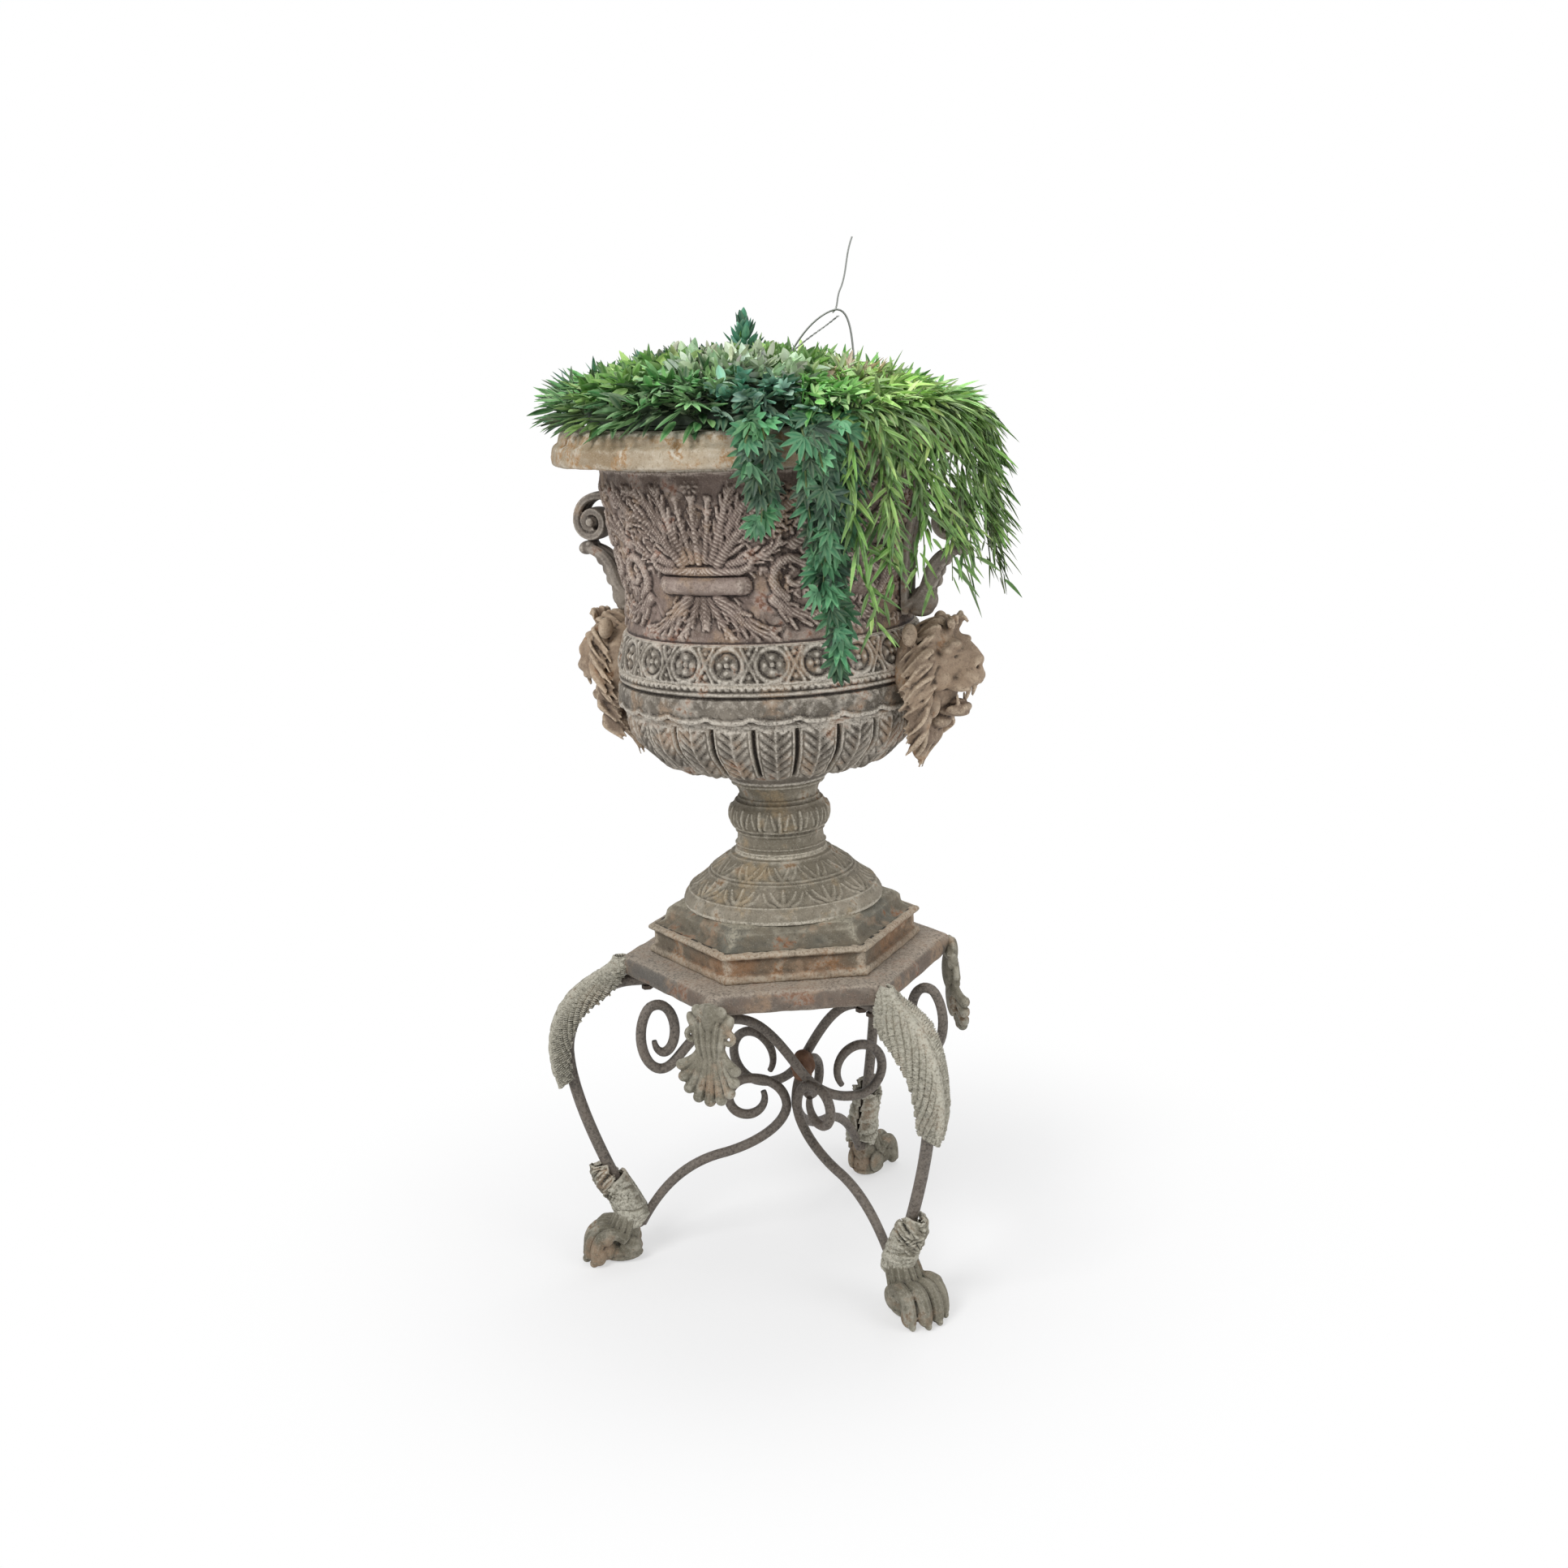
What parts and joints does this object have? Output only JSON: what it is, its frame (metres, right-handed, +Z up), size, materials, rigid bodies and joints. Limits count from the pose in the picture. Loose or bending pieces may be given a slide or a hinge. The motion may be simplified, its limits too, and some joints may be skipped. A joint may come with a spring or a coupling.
{
  "type": "garden urn",
  "caption": "Campana garden urn with lion masks and scroll handles on a three-legged scrolled stand, with a lift-out basket of artificial greenery.",
  "frame": {"origin": "on the floor, below the middle of the whole object's box in plan, close to the urn's axis", "axes": "+Z up; the front, which the picture shows, faces -Y; +X is to the right"},
  "size_m": [0.6123, 0.5652, 1.3116],
  "materials": {
    "aged_iron": "aged paint, rough, worn to cream on the high parts",
    "rusty_iron": "rough rust over old paint",
    "pale_iron": "aged cream-grey paint, rough",
    "bar_iron": "dark grey-brown paint, satin, worn",
    "bolt_steel": "dull, unpolished",
    "wire_steel": "dull galvanised wire",
    "liner_fibre": "coarse brown fibre",
    "foam": "dry, porous",
    "leaves_mixed": "soft leaves, satin to matte",
    "leaves_dark": "soft leaves, satin",
    "leaves_light": "soft leaves, satin"
  },
  "bodies": {
    "stand": {"stand_top_plate": "aged_iron", "leg_bar_left": "bar_iron", "leg_bar_front": "bar_iron", "leg_bar_rear": "bar_iron", "knee_leaf_left": "pale_iron", "knee_leaf_front": "pale_iron", "knee_leaf_rear": "pale_iron", "ankle_cuff_left": "pale_iron", "ankle_cuff_front": "pale_iron", "ankle_cuff_rear": "pale_iron", "paw_foot_left": "pale_iron", "paw_foot_front": "pale_iron", "paw_foot_rear": "pale_iron", "lower_scroll_left": "bar_iron", "lower_scroll_front": "bar_iron", "lower_scroll_rear": "bar_iron", "s_scroll_left": "bar_iron", "s_scroll_right": "bar_iron", "centre_boss": "rusty_iron", "shell_left": "pale_iron", "shell_right": "pale_iron", "shell_rear": "pale_iron", "leg_bolts": "bolt_steel"},
    "urn": {"plinth": "aged_iron", "dome_foot": "aged_iron", "stem": "aged_iron", "bowl": "aged_iron", "urn_body": "aged_iron", "rim": "aged_iron", "lion_mask_right": "aged_iron", "lion_mask_left": "aged_iron", "handle_right": "pale_iron", "handle_left": "pale_iron", "tie_rod": "bolt_steel", "tie_nuts": "bolt_steel", "tie_washers": "bolt_steel", "flange_bolts": "bolt_steel", "flange_nuts": "bolt_steel", "mask_bolts": "bolt_steel", "handle_bolts": "bolt_steel"},
    "planting": {"basket_frame": "wire_steel", "basket_liner": "liner_fibre", "growing_foam": "foam", "hanger_wire": "wire_steel", "leaf_mound": "leaves_mixed", "top_sprig": "leaves_dark", "dark_trail": "leaves_dark", "light_trail": "leaves_light"}
  },
  "joints": [
    {"name": "urn_lift", "type": "slide", "parent": "stand", "child": "urn", "axis": [0, 0, 1], "range_m": [0, 0.15]},
    {"name": "planting_lift", "type": "slide", "parent": "urn", "child": "planting", "axis": [0, 0, 1], "range_m": [0, 0.32]}
  ]
}
